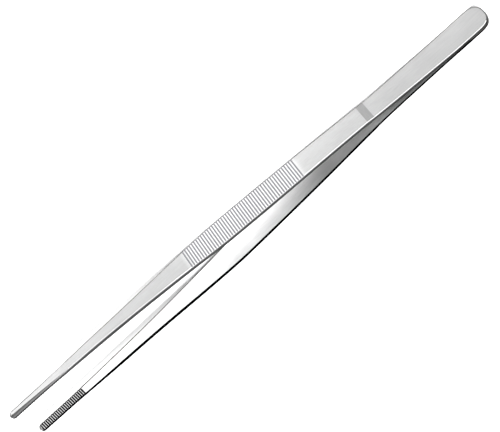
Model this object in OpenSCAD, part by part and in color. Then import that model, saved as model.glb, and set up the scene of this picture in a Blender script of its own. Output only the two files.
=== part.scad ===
// Long straight aquascaping tweezers: two mirrored spring arms welded together at the butt.
// +X runs from the butt to the tips, the arms open along Y and their width stands along Z.
// The origin is the middle of the length and of the opening, on the surface that the edges rest on.

/* [Overall] */
// Length from the rounded butt to the tips
total_len = 300; // [285:1:305]
// Width of the butt, the widest place
butt_w = 13.8; // [13:0.1:14.5]
// Length of the rounding at the butt end
butt_round = 7.8; // [6:0.1:9]
// How square the rounding is: 2 is an ellipse, and more is blunter
butt_square = 2.6; // [2:0.1:3]

/* [Thickness] */
// Thickness of an arm at the butt end
butt_t = 1.4; // [1.2:0.05:1.5]
// Thickness of the thin spring leaf
leaf_t = 1.55; // [1.2:0.05:1.65]
// Thickness just after the ramp, where the stiff arm begins
arm_start_t = 1.85; // [1.6:0.05:2]
// Thickness at the end of the finger grip
grip_t = 2.5; // [2:0.05:2.5]
// Thickness of a tip
tip_t = 2.15; // [1.8:0.05:2.3]

/* [Finger grip] */
// Distance from the butt end to the first cross groove
grip_from = 113.8; // [110:0.1:118]
// Number of cross grooves
grip_grooves = 48; // [40:1:50]
// Distance from one groove to the next
grip_pitch = 1.45; // [1.3:0.01:1.5]
// Width of a groove at the face
groove_w = 0.8; // [0.5:0.05:1]
// Depth of a groove
groove_depth = 0.22; // [0.1:0.01:0.3]

/* [Tips] */
// Length of the toothed zone, measured back from the tips
teeth_len = 31; // [30:0.1:33]
// Number of notches in one tip
tip_notches = 24; // [15:1:24]
// Distance from one notch to the next
tooth_pitch = 1.22; // [1:0.01:1.22]
// Width of a notch at the face
notch_w = 0.9; // [0.5:0.05:0.95]
// Depth of a notch
notch_depth = 0.45; // [0.2:0.05:0.6]
// Angle of the notches from square across the arm
notch_slant = 13; // [0:1:15]
// Length of the tapering bevels on the outside of a tip
bevel_len = 38; // [32:1:45]
// Width of a bevel at the tip end, across the face
bevel_w = 1.8; // [1:0.05:1.9]
// Depth of a bevel at the tip end
bevel_depth = 0.75; // [0.4:0.05:0.9]

/* [Weld and spring] */
// Length of the welded seam from the butt end
weld_len = 14; // [12:0.5:14]
// How far the weld bead reaches in from the edge
weld_reach = 0.8; // [0.5:0.1:1.2]
// Width of the weld bead across the seam
weld_w = 0.6; // [0.4:0.1:0.8]
// Distance from the butt end to the line that an arm turns about
pivot_from = 40; // [36:1:44]
// Running clearance round the knuckle that stands for the bend in the leaf
knuckle_gap = 0.06; // [0.03:0.01:0.1]

/* [Hidden] */
$fn = 64;

// Slope of an arm's inner face against its distance from the butt, as [distance, slope] knots
gap_slopes = [
    [16, 0], [36, 0.045], [50, 0.045], [75, 0.078], [95, 0.078], [110, 0.062],
    [165, 0.064], [190, 0.028], [total_len - 50, 0.022], [total_len - 25, 0.006], [total_len, 0]
];
// Slope of an arm's long edge against its distance from the butt: waist, flare, grip and taper
edge_slopes = [
    [14, 0], [22, -0.023], [66, -0.0195], [76, 0.004], [88, 0.0175], [104, 0.016], [116, 0.011],
    [130, 0.009], [158, -0.003], [172, -0.057], [205, -0.053], [total_len - 60, -0.026],
    [total_len - 25, -0.0185], [total_len - 16, 0], [total_len, 0]
];
grip_start_t = grip_t - 0.3;
tip_start_t = tip_t - 0.15;
// Thickness against distance from the butt, with the ramp between 71 and 75
thickness_knots = [
    [0, butt_t], [36, leaf_t], [71, leaf_t], [75, arm_start_t], [160, grip_start_t], [200, grip_t],
    [total_len - 60, grip_t], [total_len - 30, tip_start_t], [total_len, tip_t]
];
coarse_step = 5;
arm_tall = 20;
arm_deep = 60;
cutter = 60;

// Rise that a run of [distance, slope] knots has added at distance d, with slopes straight between knots
function knot_rise(k, i, d) =
    let (span = k[i + 1][0] - k[i][0], u = min(max(d - k[i][0], 0), span))
    k[i][1] * u + (k[i + 1][1] - k[i][1]) * u * u / (2 * span);
function rise(k, d, i = 0) = i > len(k) - 2 ? 0 : knot_rise(k, i, d) + rise(k, d, i + 1);

// Value that eases from one [distance, value] knot to the next
function ease(u) = u * u * (3 - 2 * u);
function eased(k, d, i = 0) =
    i > len(k) - 2 ? k[len(k) - 1][1] :
    d > k[i + 1][0] ? eased(k, d, i + 1) :
    k[i][1] + (k[i + 1][1] - k[i][1]) * ease(max(d - k[i][0], 0) / (k[i + 1][0] - k[i][0]));

function half_gap(d) = rise(gap_slopes, d);
function half_width(d) = butt_w / 2 + rise(edge_slopes, d);
function thickness(d) = eased(thickness_knots, d);
function outer(d) = half_gap(d) + thickness(d);

tip_r = half_width(total_len);
// The bevels leave at least this much of a tip's outer face between them
ridge_w = 0.3;
tip_bevel_w = min(bevel_w, tip_r - ridge_w / 2);
grip_to = grip_from + grip_grooves * grip_pitch;
teeth_from = total_len - teeth_len;
bevel_from = total_len - bevel_len;
arc_step = 5;
// Blunt quarter round of the butt end, from the middle of the end to the long edge
function butt_arc(inset = 0) =
    [for (a = [0:arc_step:90]) [
        butt_round - (butt_round - inset) * pow(cos(a), 2 / butt_square),
        (butt_w / 2 - inset) * pow(sin(a), 2 / butt_square)
    ]];
knuckle_r = thickness(pivot_from) / 2;
pivot_y = half_gap(pivot_from) + knuckle_r;

// Distances from a to b, no further apart than coarse_step
function stations(a, b) =
    let (n = max(1, ceil((b - a) / coarse_step)))
    [for (i = [0:n]) a + (b - a) * i / n];

// Points of the outer face along the grip, with its row of V grooves
function grip_points() =
    [for (i = [0:grip_grooves - 1], p = [-1, 0, 1])
        let (d = grip_from + (i + 0.5) * grip_pitch + p * groove_w / 2)
        [d, outer(d) - (p == 0 ? groove_depth : 0)]];

function outer_points(a, b) = [for (d = stations(a, b)) [d, outer(d)]];
function inner_points(a, b) = [for (d = stations(a, b)) [d, half_gap(d)]];
function backwards(p) = [for (i = [len(p) - 1:-1:0]) p[i]];

// Moves a piece from distances along the arm to the part's own frame
module place() {
    translate([-total_len / 2, 0, butt_w / 2])
        children();
}

// Upright prism of a side profile, whose points are [distance, y]
module side_prism(points) {
    translate([0, 0, -arm_tall / 2])
        linear_extrude(arm_tall)
            polygon(points);
}

// Prism across the opening of a shape drawn as [distance, z]
module plan_prism(depth = arm_deep) {
    rotate([90, 0, 0])
        linear_extrude(depth, center = true)
            children();
}

// Outline of an arm's face between two distances, with the near edge's points first
function edge_points(a, b) = [for (d = stations(a, b)) [d, half_width(d)]];
function far_edge(p) = backwards([for (q = p) [q.x, -q.y]]);
module face_strip(points) {
    polygon(concat(points, far_edge(points)));
}

// Outline of the welded part of the butt, set in from its edge
module butt_outline(inset, to = weld_len) {
    face_strip(concat(butt_arc(inset), [[to, butt_w / 2 - inset]]));
}

// Weld bead round the rounded end, on the seam between the butts. The groove for it is cut over the edge
module weld_ring(over = 0) {
    plan_prism(weld_w)
        difference() {
            butt_outline(-over);
            butt_outline(weld_reach, weld_len + 1);
        }
}

module butt_half() {
    difference() {
        intersection() {
            side_prism(concat(inner_points(0, pivot_from), backwards(outer_points(0, pivot_from))));
            plan_prism()
                face_strip(concat(butt_arc(), edge_points(butt_round + coarse_step, pivot_from)));
        }
        weld_ring(1);
        translate([pivot_from, pivot_y, 0])
            cylinder(r = knuckle_r + knuckle_gap, h = arm_tall, center = true);
    }
}

// Half space beyond a plane through a point, where n points away from what is kept
module beyond(point, n) {
    u = n / norm(n);
    translate(point)
        rotate([0, acos(u.z), atan2(u.y, u.x)])
            translate([-cutter / 2, -cutter / 2, 0])
                cube([cutter, cutter, cutter / 4]);
}

// Bevels along both outer edges of a tip and across its end
module tip_bevels() {
    outer_start = [bevel_from, outer(bevel_from), half_width(bevel_from)];
    outer_end = [total_len, outer(total_len), tip_r - tip_bevel_w];
    side_end = [total_len, outer(total_len) - bevel_depth, tip_r];
    edge_normal = cross(outer_end - outer_start, side_end - outer_start);
    for (side = [0, 1])
        mirror([0, 0, side])
            beyond(outer_start, edge_normal.z > 0 ? edge_normal : -edge_normal);
    beyond([total_len - tip_bevel_w, outer(total_len), 0], [bevel_depth, tip_bevel_w, 0]);
}

// Cutter for one notch across the inner face of a tip
module notch(d) {
    translate([d, half_gap(d), 0])
        rotate([0, -notch_slant, 0])
            side_prism([[-notch_w / 2, 0], [0, notch_depth], [notch_w / 2, 0], [0, -notch_depth]]);
}

module arm_half(tooth_phase) {
    difference() {
        intersection() {
            side_prism(concat(
                inner_points(pivot_from, total_len),
                backwards(outer_points(grip_to, total_len)),
                backwards(grip_points()),
                backwards(outer_points(pivot_from, grip_from))
            ));
            plan_prism() {
                face_strip(edge_points(pivot_from, total_len - tip_r));
                translate([total_len - tip_r, 0])
                    circle(r = tip_r);
            }
        }
        tip_bevels();
        for (i = [0:tip_notches - 1])
            notch(teeth_from + (i + 0.5 + tooth_phase) * tooth_pitch);
    }
    translate([pivot_from, pivot_y, 0])
        cylinder(r = knuckle_r, h = 2 * half_width(pivot_from), center = true);
}

module right_butt() {
    color("#d2d4d6")
        place()
            mirror([0, 1, 0])
                butt_half();
}

module left_butt() {
    color("#c8cacc")
        place()
            butt_half();
}

module butt_weld() {
    color("#9a9c9e")
        place()
            weld_ring();
}

module right_arm() {
    color("#dcdee0")
        place()
            mirror([0, 1, 0])
                arm_half(0);
}

module left_arm() {
    color("#c0c2c4")
        place()
            arm_half(0.5);
}

right_butt();
left_butt();
butt_weld();
right_arm();
left_arm();
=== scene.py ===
import bpy
import math
from mathutils import Matrix, Vector


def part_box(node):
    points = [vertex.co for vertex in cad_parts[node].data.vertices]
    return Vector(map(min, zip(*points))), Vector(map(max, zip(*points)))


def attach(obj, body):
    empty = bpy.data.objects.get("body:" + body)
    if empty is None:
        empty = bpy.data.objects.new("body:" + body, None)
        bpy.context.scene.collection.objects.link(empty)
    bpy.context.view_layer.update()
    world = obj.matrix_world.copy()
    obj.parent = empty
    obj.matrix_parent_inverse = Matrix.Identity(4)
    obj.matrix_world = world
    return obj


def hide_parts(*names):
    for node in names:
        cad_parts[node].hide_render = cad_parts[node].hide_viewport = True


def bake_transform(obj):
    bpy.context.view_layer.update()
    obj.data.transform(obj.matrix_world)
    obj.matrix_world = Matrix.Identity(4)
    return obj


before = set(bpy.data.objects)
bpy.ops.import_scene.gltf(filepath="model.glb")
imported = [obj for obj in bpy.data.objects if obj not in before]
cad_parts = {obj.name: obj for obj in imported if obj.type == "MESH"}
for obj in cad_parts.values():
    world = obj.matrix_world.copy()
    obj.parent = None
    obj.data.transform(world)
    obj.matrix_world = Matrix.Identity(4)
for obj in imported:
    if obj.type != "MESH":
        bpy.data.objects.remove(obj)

MM = 0.001
SCENE = bpy.context.scene


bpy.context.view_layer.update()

# ---------------------------------------------------------------- camera
# The tweezers stand on their long edges, and the camera looks across them from above, rolled so that the tips point
# down to the left. Angles in degrees, aim and distance in mm. Azimuth 0 looks along +Y.
CAMERA_AZIMUTH = 8.72
CAMERA_ELEVATION = 34.69
CAMERA_ROLL = 143.04
CAMERA_LENS = 105.4
CAMERA_AIM = (-2.45, -0.20, 4.28)
CAMERA_DISTANCE = 708.4


def make_camera():
    azimuth, elevation = math.radians(CAMERA_AZIMUTH), math.radians(CAMERA_ELEVATION)
    forward = Vector((math.sin(azimuth) * math.cos(elevation),
                      math.cos(azimuth) * math.cos(elevation),
                      -math.sin(elevation)))
    level = forward.cross(Vector((0, 0, 1))).normalized()
    above = level.cross(forward)
    roll = math.radians(CAMERA_ROLL)
    right = level * math.cos(roll) + above * math.sin(roll)
    up = above * math.cos(roll) - level * math.sin(roll)
    place = Vector(CAMERA_AIM) * MM - forward * CAMERA_DISTANCE * MM
    turn = Matrix((right, up, -forward)).transposed()
    data = bpy.data.cameras.new("camera")
    data.lens = CAMERA_LENS
    data.sensor_width = 36
    data.clip_start, data.clip_end = 0.01, 20
    camera = bpy.data.objects.new("camera", data)
    SCENE.collection.objects.link(camera)
    camera.matrix_world = Matrix.Translation(place) @ turn.to_4x4()
    SCENE.camera = camera


make_camera()

# ---------------------------------------------------------------- the arms' profile, in mm from the butt end
LENGTH = (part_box("right_arm")[1].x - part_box("right_butt")[0].x) / MM
BUTT_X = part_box("right_butt")[0].x
MIDDLE_Z = (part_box("right_butt")[0].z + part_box("right_butt")[1].z) / 2
BUTT_HALF_W = (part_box("right_butt")[1].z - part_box("right_butt")[0].z) / MM / 2
BUTT_ROUND, BUTT_SQUARE = 7.8, 2.6

# Profile knots, the same as the CAD's: slopes of the inner face and of the long edge, and thickness
BUTT_T, LEAF_T, ARM_START_T, GRIP_T, TIP_T = 1.4, 1.55, 1.85, 2.5, 2.15
RAMP_FROM, RAMP_TO = 71, 75
GAP_SLOPES = ((16, 0), (36, 0.045), (50, 0.045), (RAMP_TO, 0.078), (95, 0.078), (110, 0.062),
              (165, 0.064), (190, 0.028), (LENGTH - 50, 0.022), (LENGTH - 25, 0.006), (LENGTH, 0))
EDGE_SLOPES = ((14, 0), (22, -0.023), (66, -0.0195), (76, 0.004), (88, 0.0175), (104, 0.016),
               (116, 0.011), (130, 0.009), (158, -0.003), (172, -0.057), (205, -0.053),
               (LENGTH - 60, -0.026), (LENGTH - 25, -0.0185), (LENGTH - 16, 0), (LENGTH, 0))
THICKNESS = ((0, BUTT_T), (36, LEAF_T), (RAMP_FROM, LEAF_T), (RAMP_TO, ARM_START_T), (160, GRIP_T - 0.3),
             (200, GRIP_T), (LENGTH - 60, GRIP_T), (LENGTH - 30, TIP_T - 0.15), (LENGTH, TIP_T))

GRIP_FROM, GROOVES, GROOVE_PITCH, GROOVE_W, GROOVE_DEPTH = 113.8, 48, 1.45, 0.8, 0.22
TEETH_FROM, NOTCHES, TOOTH_PITCH, NOTCH_W, NOTCH_DEPTH = LENGTH - 31, 24, 1.22, 0.9, 0.45
NOTCH_SLANT = math.tan(math.radians(13))
TIP_BEVEL_FROM, TIP_BEVEL_W, TIP_BEVEL_DEPTH = LENGTH - 38, 1.8, 0.75
OUTER_BEVEL_W, OUTER_BEVEL_DEPTH = 0.50, 0.15
INNER_BEVEL = 0.08
# The lower inner edges are broken more than the upper ones
FAR_INNER_W, FAR_INNER_DEPTH = 0.70, 0.12
# The outer bevel is split in two strips, of which the one next to the side is at most this wide
EDGE_W = 0.65
SIDE_CROWN = 0.02
# Each arm stays this far from the middle plane, and a bevel never closes up fully
SEAM_GAP = 0.01
MIN_BEVEL = 0.01
# Steps along the arm, and the divisions of the two round ends
STEP, RAMP_STEP, BUTT_STEPS, TIP_STEPS = 1.5, 0.25, 30, 12
# Stations of the teeth this close to the start of the tip's rounding, or to its end, are left out
CLEAR_OF_BEND, CLEAR_OF_END = 0.05, 0.02


def rise(knots, d):
    """Height that [distance, slope] knots have added at distance d, with slopes straight between knots."""
    total = 0.0
    for (a, slope_a), (b, slope_b) in zip(knots, knots[1:]):
        u = min(max(d - a, 0), b - a)
        total += slope_a * u + (slope_b - slope_a) * u * u / (2 * (b - a))
    return total


def eased(knots, d):
    """Value at distance d, which eases from one [distance, value] knot to the next."""
    for (a, value_a), (b, value_b) in zip(knots, knots[1:]):
        if d <= b:
            u = max(d - a, 0) / (b - a)
            return value_a + (value_b - value_a) * u * u * (3 - 2 * u)
    return knots[-1][1]


def half_gap(d):
    return max(rise(GAP_SLOPES, d), SEAM_GAP)


def half_width(d):
    return BUTT_HALF_W + rise(EDGE_SLOPES, d)


def thickness(d):
    return eased(THICKNESS, d)


def cut_depth(d, start, count, pitch, width, depth):
    """How deep a row of V cuts is at distance d."""
    i = math.floor((d - start) / pitch)
    if i < 0 or i >= count:
        return 0.0
    off = abs(d - (start + (i + 0.5) * pitch))
    return depth * max(0.0, 1 - off / (width / 2))


def groove_at(d):
    return cut_depth(d, GRIP_FROM, GROOVES, GROOVE_PITCH, GROOVE_W, GROOVE_DEPTH)


def notch_at(d, phase):
    return cut_depth(d, TEETH_FROM + phase * TOOTH_PITCH, NOTCHES, TOOTH_PITCH, NOTCH_W, NOTCH_DEPTH)


TIP_R = half_width(LENGTH)
GRIP_TO = GRIP_FROM + GROOVES * GROOVE_PITCH

# Round the butt end, up to this distance, the outer bevel takes the dark bevel material, whose tone is painted shade
BUTT_END_BEVEL = 2.2

# Surfaces of an arm, in the order of its material slots; their materials carry the finish and painted light and
# shade
FACE, BEVEL, SIDE, INNER, GROOVE, NOTCH, RAMP, FAR_BEVEL, TIP_BEVEL = range(9)


def row_stations(start, count, pitch, width):
    """The two edges, the bottom and the middles of both flanks of every cut in a row."""
    found = []
    for i in range(count):
        middle = start + (i + 0.5) * pitch
        found += [middle - width / 2, middle - width / 4, middle, middle + width / 4, middle + width / 2]
    return found


def spaced(a, b, step):
    n = max(1, math.ceil((b - a) / step))
    return [a + (b - a) * i / n for i in range(n + 1)]


def outline(phase):
    """Points of half an arm's outline from the butt end to the tip end, as ("butt" or "tip", angle) on the two round
    ends and as ("side", distance) between them. phase is how far this arm's teeth are moved on, in pitches."""
    teeth = row_stations(TEETH_FROM + phase * TOOTH_PITCH, NOTCHES, TOOTH_PITCH, NOTCH_W)
    grip = row_stations(GRIP_FROM, GROOVES, GROOVE_PITCH, GROOVE_W)
    bend = LENGTH - TIP_R
    plain = spaced(BUTT_ROUND, GRIP_FROM, STEP) + spaced(GRIP_TO, TEETH_FROM, STEP)
    along = set(round(d, 3) for d in plain + grip + spaced(RAMP_FROM, RAMP_TO, RAMP_STEP))
    along |= set(round(d, 3) for d in teeth if TEETH_FROM < d < bend - CLEAR_OF_BEND)
    along.add(round(bend, 3))
    points = [("butt", math.radians(90 * i / BUTT_STEPS)) for i in range(BUTT_STEPS)]
    points += [("side", d) for d in sorted(along)]
    late = [d for d in teeth if bend + CLEAR_OF_BEND < d < LENGTH - CLEAR_OF_END]
    angles = set(round(math.degrees(math.acos((d - bend) / TIP_R)), 2) for d in late)
    angles |= set(90 - 90 * i / TIP_STEPS for i in range(1, TIP_STEPS + 1))
    points += [("tip", math.radians(a)) for a in sorted(angles, reverse=True)]
    return points


def outline_point(point, inset):
    """(distance, z) of an outline point, moved in from the edge by inset."""
    kind, value = point
    if kind == "side":
        return value, half_width(value) - inset
    if kind == "butt":
        power = 2 / BUTT_SQUARE
        return (BUTT_ROUND - (BUTT_ROUND - inset) * math.cos(value) ** power,
                (BUTT_HALF_W - inset) * math.sin(value) ** power)
    return LENGTH - TIP_R + (TIP_R - inset) * math.cos(value), (TIP_R - inset) * math.sin(value)


def outer_bevel(d):
    """(width across the face, depth down the side) of the outer bevel, which grows along the tip."""
    u = min(max((d - TIP_BEVEL_FROM) / (LENGTH - TIP_BEVEL_FROM), 0), 1)
    return (max(OUTER_BEVEL_W, TIP_BEVEL_W * u + OUTER_BEVEL_W * (1 - u)),
            max(OUTER_BEVEL_DEPTH, TIP_BEVEL_DEPTH * u + OUTER_BEVEL_DEPTH * (1 - u)))


def rings(point, phase, far=False):
    """(distance, y, z) of one outline point on each ring from the inner face round the edge to the outer face."""
    d0 = outline_point(point, 0)[0]
    groove, notch = groove_at(d0), notch_at(d0, phase)
    wide, deep = outer_bevel(d0)
    face_in = wide * max(0.0, 1 - groove / deep) + MIN_BEVEL
    outer_deep = max(deep, groove)
    edge_in = min(EDGE_W, 0.5 * face_in)
    edge_deep = outer_deep + (groove - outer_deep) * edge_in / face_in
    inner_wide, inner = (FAR_INNER_W, FAR_INNER_DEPTH) if far else (INNER_BEVEL, INNER_BEVEL)
    inner_in = inner_wide * max(0.0, 1 - notch / inner) + MIN_BEVEL
    inner_deep = max(inner, notch)
    made = []
    for inset, base, offset in (
        (inner_in, "inner", notch),
        (SIDE_CROWN, "inner", inner_deep),
        (0.0, "share", 0.3),
        (0.0, "share", 0.7),
        (SIDE_CROWN * 0.5, "outer", -outer_deep),
        (max(edge_in, SIDE_CROWN * 0.5), "outer", -edge_deep),
        (face_in, "outer", -groove),
    ):
        d, z = outline_point(point, inset)
        g, t = half_gap(d), thickness(d)
        if base == "inner":
            y = g + offset
        elif base == "outer":
            y = g + t + offset
        else:
            low, high = g + inner_deep, g + t - outer_deep
            y = low + (high - low) * offset
        made.append((d, y, z))
    return made


# The slant comes in over this length before the teeth and goes out over this length at the tip
SLANT_IN, SLANT_OUT = 6, 2.5


def slanted(d, z, share):
    """Distance of a point near the inner face, moved so that the notches run off square."""
    u = min(max((d - TEETH_FROM + SLANT_IN) / SLANT_IN, 0), 1) * min(max((LENGTH - d) / SLANT_OUT, 0), 1)
    return d - NOTCH_SLANT * z * u * share


# A face is given the finish of a cut where the cut is deeper than this
CUT_SEEN = 1e-4
SHARP_ANGLE = 18
# How far each ring, from the inner face to the outer face, follows the slant of the notches
SLANT_SHARE = (1.0, 1.0, 0.7, 0.3, 0.0, 0.0, 0.0)


def arm_mesh(name, side, phase):
    """One arm as a closed skin: rings that follow its outline, joined round the edge and across both faces. side is
    the sign of its y. The upper edge is the one near the camera."""
    points = outline(phase)
    grid = [(rings(p, phase), rings(p, phase, far=True)) for p in points]
    count = len(SLANT_SHARE)
    verts, top, bottom = [], [], []

    def add(ring, d, y, z):
        place = slanted(d, z, SLANT_SHARE[ring])
        verts.append((BUTT_X + place * MM, side * y * MM, MIDDLE_Z + z * MM))
        return len(verts) - 1

    last = len(grid) - 1
    for i, (near_ring, far_ring) in enumerate(grid):
        high = [add(k, *p) for k, p in enumerate(near_ring)]
        closed = i in (0, last)
        top.append(high)
        bottom.append(high if closed else [add(k, d, y, -z) for k, (d, y, z) in enumerate(far_ring)])
    faces, finish = [], []

    def face(loop, kind):
        corners = [v for k, v in enumerate(loop) if v != loop[k - 1]]
        if len(corners) > 2:
            faces.append(corners if side > 0 else corners[::-1])
            finish.append(kind)

    for i in range(last):
        ends = [outline_point(p, 0)[0] for p in points[i:i + 2]]
        middle = (ends[0] + ends[1]) / 2
        # The lower bevels, and round the butt end the near bevel and side too, take the dark bevel material, which
        # is painted shade
        near, edge, far = BEVEL, SIDE, FAR_BEVEL
        if middle < BUTT_END_BEVEL:
            near, edge = FAR_BEVEL, FAR_BEVEL
        if middle > TIP_BEVEL_FROM:
            near, far = TIP_BEVEL, FACE
        for k in range(count - 1):
            high_kind, low_kind = SIDE, SIDE
            if k == 0:
                low_kind = FAR_BEVEL
            if k == count - 3:
                high_kind, low_kind = edge, FAR_BEVEL
            if k == count - 2:
                high_kind, low_kind = near, far
            face([top[i][k], top[i + 1][k], top[i + 1][k + 1], top[i][k + 1]], high_kind)
            face([bottom[i][k + 1], bottom[i + 1][k + 1], bottom[i + 1][k], bottom[i][k]], low_kind)
        outer_kind = GROOVE if max(groove_at(d) for d in ends) > CUT_SEEN else FACE
        if RAMP_FROM < middle < RAMP_TO:
            outer_kind = RAMP
        face([top[i][-1], top[i + 1][-1], bottom[i + 1][-1], bottom[i][-1]], outer_kind)
        inner_kind = NOTCH if max(notch_at(d, phase) for d in ends) > CUT_SEEN else INNER
        face([bottom[i][0], bottom[i + 1][0], top[i + 1][0], top[i][0]], inner_kind)
    mesh = bpy.data.meshes.new(name)
    mesh.from_pydata(verts, [], faces)
    mesh.polygons.foreach_set("material_index", finish)
    mesh.validate()
    mesh.shade_smooth()
    mesh.set_sharp_from_angle(angle=math.radians(SHARP_ANGLE))
    mesh.update()
    return mesh


def weld_mesh(name):
    """Weld bead round the seam at the butt: a low rounded rib that rises and falls a little along its length."""
    bead_w, proud, sunk = 0.34, 0.10, 0.5
    bead_to, bead_step, turns, across, fade_over = 14, 0.25, 40, 8, 5
    path = [("butt", math.radians(90 * i / turns)) for i in range(turns)]
    path += [("side", d) for d in spaced(BUTT_ROUND, bead_to, bead_step)]
    full = [(p, 1) for p in reversed(path)] + [(p, -1) for p in path[1:]]
    verts, faces = [], []
    for i, (p, sign) in enumerate(full):
        ripple = 0.03 * math.sin(i * 1.9) + 0.02 * math.sin(i * 0.7 + 1)
        fade = min(1, i / fade_over, (len(full) - 1 - i) / fade_over)
        for k in range(across):
            a = math.pi * 2 * k / across
            y = bead_w * math.cos(a)
            out = (proud + ripple) * fade * math.sin(a) if math.sin(a) > 0 else sunk * math.sin(a)
            d, z = outline_point(p, -out)
            verts.append((BUTT_X + d * MM, y * MM, MIDDLE_Z + sign * z * MM))
    for i in range(len(full) - 1):
        for k in range(across):
            a, b = i * across + k, i * across + (k + 1) % across
            faces.append((a, b, b + across, a + across))
    faces.append(tuple(range(across))[::-1])
    faces.append(tuple((len(full) - 1) * across + k for k in range(across)))
    mesh = bpy.data.meshes.new(name)
    mesh.from_pydata(verts, [], faces)
    mesh.validate()
    mesh.shade_smooth()
    return mesh


# ---------------------------------------------------------------- materials
def nodes_of(name):
    material = bpy.data.materials.new(name)
    material.use_nodes = True
    tree = material.node_tree
    return material, tree, tree.nodes["Principled BSDF"]


def mapped(tree, source, to_low, to_high, low=0, high=1):
    """The output of a map range node that takes low to high of a socket to to_low to to_high."""
    node = tree.nodes.new("ShaderNodeMapRange")
    for socket, value in (("From Min", low), ("From Max", high), ("To Min", to_low), ("To Max", to_high)):
        node.inputs[socket].default_value = value
    tree.links.new(source, node.inputs["Value"])
    return node.outputs["Result"]


def steel(name, tone, rough, spread, grain, bump, tint=(1.0, 1.0, 1.0)):
    """Bare steel. tone is its brightness, or (distance from the butt end, brightness) stops along the arm; the tones
    given below are painted light and shade.
    grain is the number of lines per metre along x, y and z, and spread is how far roughness wanders."""
    material, tree, shader = nodes_of(name)
    links, new = tree.links, tree.nodes.new
    place = new("ShaderNodeTexCoord")
    stretch = new("ShaderNodeMapping")
    stretch.inputs["Scale"].default_value = grain
    links.new(place.outputs["Object"], stretch.inputs["Vector"])
    lines = new("ShaderNodeTexNoise")
    lines.inputs["Scale"].default_value = 1.0
    lines.inputs["Detail"].default_value = 5.0
    lines.inputs["Roughness"].default_value = 0.65
    links.new(stretch.outputs["Vector"], lines.inputs["Vector"])
    cloud = new("ShaderNodeTexNoise")
    cloud.inputs["Scale"].default_value = 70.0
    cloud.inputs["Detail"].default_value = 4.0
    links.new(place.outputs["Object"], cloud.inputs["Vector"])

    both = new("ShaderNodeMath")
    both.operation = "MULTIPLY"
    links.new(mapped(tree, lines.outputs["Fac"], 0.90, 1.06, 0.25, 0.75), both.inputs[0])
    links.new(mapped(tree, cloud.outputs["Fac"], 0.96, 1.03, 0.3, 0.7), both.inputs[1])
    colour = new("ShaderNodeMix")
    colour.data_type = "RGBA"
    colour.blend_type = "MULTIPLY"
    colour.inputs["Factor"].default_value = 1.0
    if isinstance(tone, tuple):
        split = new("ShaderNodeSeparateXYZ")
        links.new(place.outputs["Object"], split.inputs["Vector"])
        share = mapped(tree, split.outputs["X"], 0, 1, BUTT_X, BUTT_X + LENGTH * MM)
        ramp = new("ShaderNodeValToRGB")
        stops = ramp.color_ramp.elements
        for i, (d, value) in enumerate(tone):
            stop = stops[i] if i < 2 else stops.new(d / LENGTH)
            stop.position = d / LENGTH
            stop.color = tuple(value * c for c in tint) + (1.0,)
        links.new(share, ramp.inputs["Fac"])
        links.new(ramp.outputs["Color"], colour.inputs[6])
    else:
        colour.inputs[6].default_value = tuple(tone * c for c in tint) + (1.0,)
    links.new(both.outputs["Value"], colour.inputs[7])
    links.new(colour.outputs[2], shader.inputs["Base Color"])

    links.new(mapped(tree, cloud.outputs["Fac"], rough - spread, rough + spread), shader.inputs["Roughness"])

    relief = new("ShaderNodeBump")
    relief.inputs["Strength"].default_value = bump
    relief.inputs["Distance"].default_value = 0.00008
    links.new(lines.outputs["Fac"], relief.inputs["Height"])
    links.new(relief.outputs["Normal"], shader.inputs["Normal"])
    shader.inputs["Metallic"].default_value = 1.0
    return material


# Grain along the arm, across it, and without direction
ALONG = (90.0, 2600.0, 2600.0)
ACROSS = (2600.0, 90.0, 260.0)
FINE = (3000.0, 3000.0, 3000.0)
# Brightness along the arm, as (distance from the butt end, tone) stops. These stops are painted light: the base
# colour is made lighter and darker along each arm to stand in for reflections, highlights and shade.
# Outer face: painted light, darker near the butt, lightest along the grip, lighter again towards the tip
FACE_PAINTED_LIGHT = ((0, 0.325), (60, 0.335), (80, 0.365), (112, 0.40), (116, 0.60), (180, 0.60), (185, 0.36), (225, 0.375),
              (262, 0.43), (LENGTH, 0.52))
# Inner face: painted light, darker near the spring, bright past the grip, darker over the teeth and darkest at the
# very tip
INNER_PAINTED_LIGHT = ((0, 0.70), (72, 0.68), (90, 0.53), (106, 0.46), (113, 0.50), (135, 0.80), (160, 0.86),
               (LENGTH - 32, 0.88), (LENGTH - 31, 0.60), (LENGTH - 2, 0.60), (LENGTH - 1.2, 0.25), (LENGTH, 0.20))
# Long sides: painted shade, near black at the butt and dark grey along the arm
SIDE_PAINTED_SHADE = ((0, 0.07), (30, 0.12), (80, 0.22), (262, 0.24), (280, 0.13), (LENGTH, 0.10))
# Near bevel: painted highlight, a bright line along the near edge, dimmer past the grip
BEVEL_PAINTED_HIGHLIGHT = ((0, 0.85), (190, 0.85), (205, 0.62))
# Lower bevels and the butt end's bevel: painted shade, dark grey along the arm, near black towards the tip
DULL_PAINTED_SHADE = ((0, 0.08), (12, 0.10), (200, 0.10), (225, 0.03))
# Tip bevels: painted shade, grey at the start of the tip bevel, near black along the rest of it
TIP_PAINTED_SHADE = ((0, 0.40), (262, 0.40), (272, 0.09), (LENGTH, 0.07))
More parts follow.
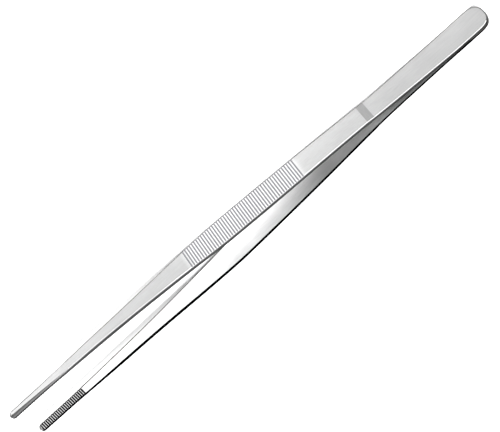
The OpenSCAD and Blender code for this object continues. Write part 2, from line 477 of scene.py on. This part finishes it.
# The materials of an arm, in the order of the slots above: the steel's finish, with painted light and shade in their
# tones
FINISHES_AND_PAINTED_LIGHT = [
    steel("satin_face_painted_light", FACE_PAINTED_LIGHT, 0.34, 0.06, ALONG, 0.35),
    steel("polished_bevel_painted_highlight", BEVEL_PAINTED_HIGHLIGHT, 0.16, 0.05, ALONG, 0.12),
    steel("ground_side_painted_shade", SIDE_PAINTED_SHADE, 0.50, 0.06, ALONG, 0.30),
    steel("satin_inner_painted_light", INNER_PAINTED_LIGHT, 0.42, 0.06, ALONG, 0.35),
    # Grip grooves: painted shade, much darker than the face between them
    steel("grip_groove_painted_shade", 0.22, 0.50, 0.08, ACROSS, 0.40, tint=(0.97, 0.97, 1.03)),
    # Tooth notches: painted shade, near black in the notches
    steel("tooth_notch_painted_shade", 0.02, 0.55, 0.10, ACROSS, 0.50),
    # Ramp: rougher ground finish, with a darker tone that is painted shade of the step
    steel("ground_ramp_painted_shade", 0.235, 0.40, 0.08, ACROSS, 0.50),
    steel("dull_bevel_painted_shade", DULL_PAINTED_SHADE, 0.40, 0.04, ALONG, 0.25),
    steel("ground_tip_painted_shade", TIP_PAINTED_SHADE, 0.40, 0.08, ALONG, 0.45),
]
# Left arm's long sides: polished, with a near-black tone that is painted shade
POLISHED_SIDE_PAINTED_SHADE = steel("polished_side_painted_shade", 0.04, 0.10, 0.03, ALONG, 0.05)
WELD_STEEL = steel("weld_bead", 0.08, 0.45, 0.12, FINE, 0.60, tint=(1.02, 0.99, 0.95))


# ---------------------------------------------------------------- pieces
def add_piece(name, mesh, materials):
    piece = bpy.data.objects.new(name, mesh)
    SCENE.collection.objects.link(piece)
    for material in materials:
        mesh.materials.append(material)
    return piece


for label, side, phase in (("right", -1, 0.0), ("left", 1, 0.5)):
    arm_materials = list(FINISHES_AND_PAINTED_LIGHT)
    # The left arm's sides take the polished material whose near-black tone is painted shade
    if label == "left":
        arm_materials[SIDE] = POLISHED_SIDE_PAINTED_SHADE
    arm = add_piece(label + "_spring_arm", arm_mesh(label + "_spring_arm", side, phase), arm_materials)
    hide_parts(label + "_butt", label + "_arm")
    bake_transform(arm)

weld = add_piece("seam_weld", weld_mesh("seam_weld"), [WELD_STEEL])
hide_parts("butt_weld")
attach(weld, "butt")


# ---------------------------------------------------------------- floor and light
def make_floor():
    size, drop = 3.0, 0.00005
    mesh = bpy.data.meshes.new("floor")
    mesh.from_pydata([(-size, -size, 0), (size, -size, 0), (size, size, 0), (-size, size, 0)], [], [(0, 1, 2, 3)])
    floor = bpy.data.objects.new("floor", mesh)
    SCENE.collection.objects.link(floor)
    floor.location.z = -drop
    material, tree, shader = nodes_of("white_paper")
    grain = tree.nodes.new("ShaderNodeTexNoise")
    grain.inputs["Scale"].default_value = 900.0
    tree.links.new(mapped(tree, grain.outputs["Fac"], 0.86, 0.90), shader.inputs["Base Color"])
    shader.inputs["Roughness"].default_value = 0.9
    mesh.materials.append(material)


def area_light(name, place, aim, size, power):
    data = bpy.data.lights.new(name, "AREA")
    data.shape = "RECTANGLE"
    data.size, data.size_y = size
    data.energy = power
    light = bpy.data.objects.new(name, data)
    SCENE.collection.objects.link(light)
    light.location = place
    light.rotation_mode = "QUATERNION"
    light.rotation_quaternion = (Vector(aim) - Vector(place)).to_track_quat("-Z", "Y")
    return light


def make_lights():
    world = bpy.data.worlds.new("studio")
    SCENE.world = world
    world.use_nodes = True
    back = world.node_tree.nodes["Background"]
    back.inputs["Color"].default_value = (0.9, 0.95, 1.0, 1)
    back.inputs["Strength"].default_value = 0.02
    area_light("front", (0.1, -1.2, 0.85), (0, 0, 0.05), (2.8, 1.2), 54)
    area_light("top", (0.0, -0.35, 1.9), (0, 0, 0), (2.8, 1.0), 62)
    SCENE.view_settings.view_transform = "Standard"


make_floor()
make_lights()
